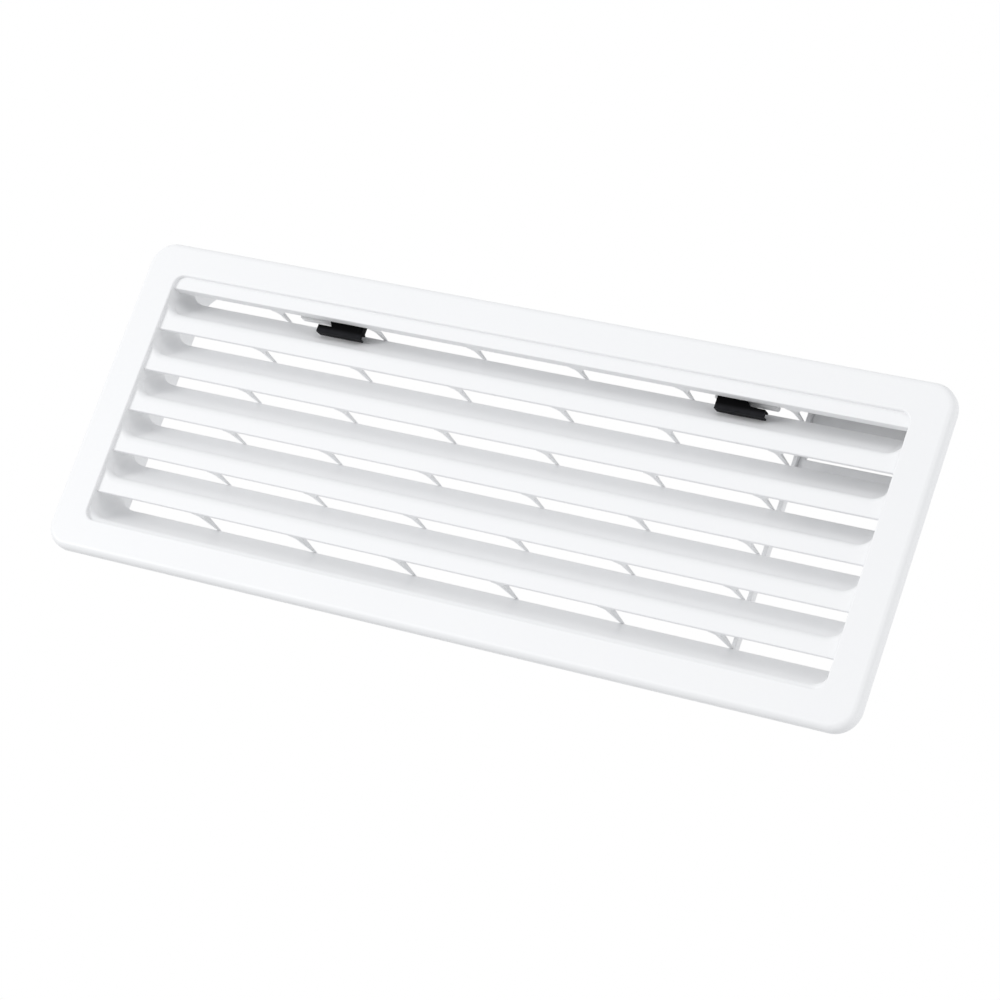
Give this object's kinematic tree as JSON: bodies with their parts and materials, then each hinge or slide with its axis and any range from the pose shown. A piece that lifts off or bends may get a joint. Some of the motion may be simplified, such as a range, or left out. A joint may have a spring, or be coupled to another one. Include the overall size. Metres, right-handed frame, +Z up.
{
  "type": "louvred air grille",
  "caption": "White louvred wall vent with a deep collar frame, a tip-out louvre panel hung at its foot, and black sliding latches that lock its head.",
  "frame": {"origin": "centre of the four screw holes, on the face that rests on the wall", "axes": "+X to the right seen from the front, +Y into the wall along the collar, +Z up as mounted"},
  "size_m": [0.42, 0.0375, 0.16],
  "materials": {
    "white_plastic": "bright white moulded plastic with a fine satin texture",
    "black_plastic": "black moulded plastic with a low sheen"
  },
  "bodies": {
    "wall_frame": {"mounting_frame": "white_plastic", "latch_catch_left": "white_plastic", "latch_catch_right": "white_plastic", "flue_divider": "white_plastic", "flue_ledge": "white_plastic", "flue_plate": "white_plastic"},
    "louvre_panel": {"panel_flange": "white_plastic", "louvre_1": "white_plastic", "louvre_2": "white_plastic", "louvre_3": "white_plastic", "louvre_4": "white_plastic", "louvre_5": "white_plastic", "louvre_6": "white_plastic", "louvre_sill": "white_plastic", "tie_row_1": "white_plastic", "tie_row_2": "white_plastic", "tie_row_3": "white_plastic", "tie_row_4": "white_plastic", "tie_row_5": "white_plastic", "tie_row_6": "white_plastic", "latch_rail_left": "white_plastic", "latch_rail_right": "white_plastic", "hinge_lug_left": "white_plastic", "hinge_lug_right": "white_plastic"},
    "latch_slider_left": {"latch_left": "black_plastic"},
    "latch_slider_right": {"latch_right": "black_plastic"}
  },
  "joints": [
    {"name": "panel_tilt", "type": "hinge", "parent": "wall_frame", "child": "louvre_panel", "pos_m": [0, -0.00354, -0.074], "axis": [1, 0, 0], "range_deg": [0, 20]},
    {"name": "left_latch_slide", "type": "slide", "parent": "louvre_panel", "child": "latch_slider_left", "axis": [-1, 0, 0], "range_m": [0, 0.014]},
    {"name": "right_latch_slide", "type": "slide", "parent": "louvre_panel", "child": "latch_slider_right", "axis": [1, 0, 0], "range_m": [-0.0105, 0.0035]}
  ]
}
